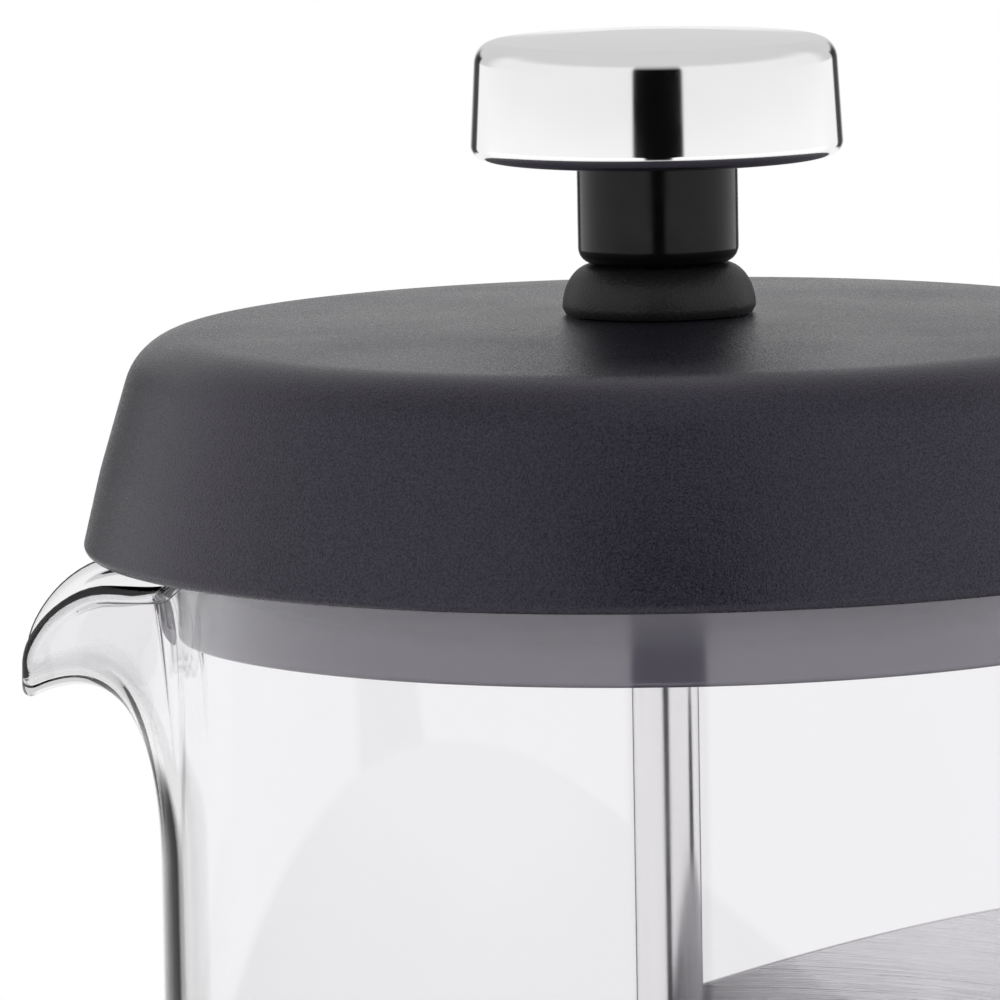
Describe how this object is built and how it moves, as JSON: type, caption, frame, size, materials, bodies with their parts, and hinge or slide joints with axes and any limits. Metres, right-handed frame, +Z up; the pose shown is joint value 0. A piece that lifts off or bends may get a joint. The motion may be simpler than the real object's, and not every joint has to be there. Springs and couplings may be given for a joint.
{
  "type": "french press",
  "caption": "Plunger coffee maker: spouted glass beaker in a steel sleeve with a slanted edge, black handle, conical black lid, polished knob on a sliding rod with a filter pack.",
  "frame": {"origin": "middle of the underside of the base pad, on the beaker's axis", "axes": "+Z up along the beaker's axis; +X towards the handle and -X towards the spout; the object is symmetric about the XZ plane"},
  "size_m": [0.1667, 0.1138, 0.2209],
  "materials": {
    "glass": "clear borosilicate glass, smooth",
    "matte_black": "dark charcoal plastic with a fine grain",
    "gloss_black": "glossy black plastic",
    "polished_steel": "polished stainless steel",
    "brushed_steel": "stainless steel brushed round the axis",
    "filter_steel": "plain stainless steel",
    "silicone": "black silicone",
    "brass": "machined brass"
  },
  "bodies": {
    "jug": {"base_pad": "silicone", "steel_sleeve": "brushed_steel", "beaker_seat": "silicone", "centring_ring": "silicone", "glass_beaker": "glass", "handle_grip": "matte_black", "upper_bracket": "brushed_steel", "upper_screw": "polished_steel", "upper_screw_plug": "matte_black", "lower_bracket": "brushed_steel", "lower_screw": "polished_steel", "lower_screw_plug": "matte_black"},
    "seal_ring": {"lid_seal": "silicone"},
    "lid": {"lid_cover": "matte_black", "lid_insert": "matte_black", "lid_boss": "matte_black", "boss_nut": "matte_black"},
    "bush": {"rod_bush": "silicone"},
    "plunger": {"plunger_rod": "polished_steel", "knob_cap": "polished_steel", "knob_core": "gloss_black", "knob_insert": "brass", "hub_collar": "polished_steel", "upper_plate": "filter_steel", "filter_coil": "filter_steel", "filter_mesh": "filter_steel", "cross_plate": "filter_steel", "hub_nut": "filter_steel"}
  },
  "joints": [
    {"name": "lid_lift", "type": "slide", "parent": "jug", "child": "seal_ring", "axis": [0, 0, 1], "range_m": [0, 0.182]},
    {"name": "lid_turn", "type": "hinge", "parent": "seal_ring", "child": "lid", "pos_m": [0, 0, 0.175], "axis": [0, 0, 1], "continuous": true},
    {"name": "plunger_turn", "type": "hinge", "parent": "lid", "child": "bush", "pos_m": [0, 0, 0.175], "axis": [0, 0, 1], "continuous": true},
    {"name": "plunger_slide", "type": "slide", "parent": "bush", "child": "plunger", "axis": [0, 0, 1], "range_m": [0, 0.142]}
  ]
}
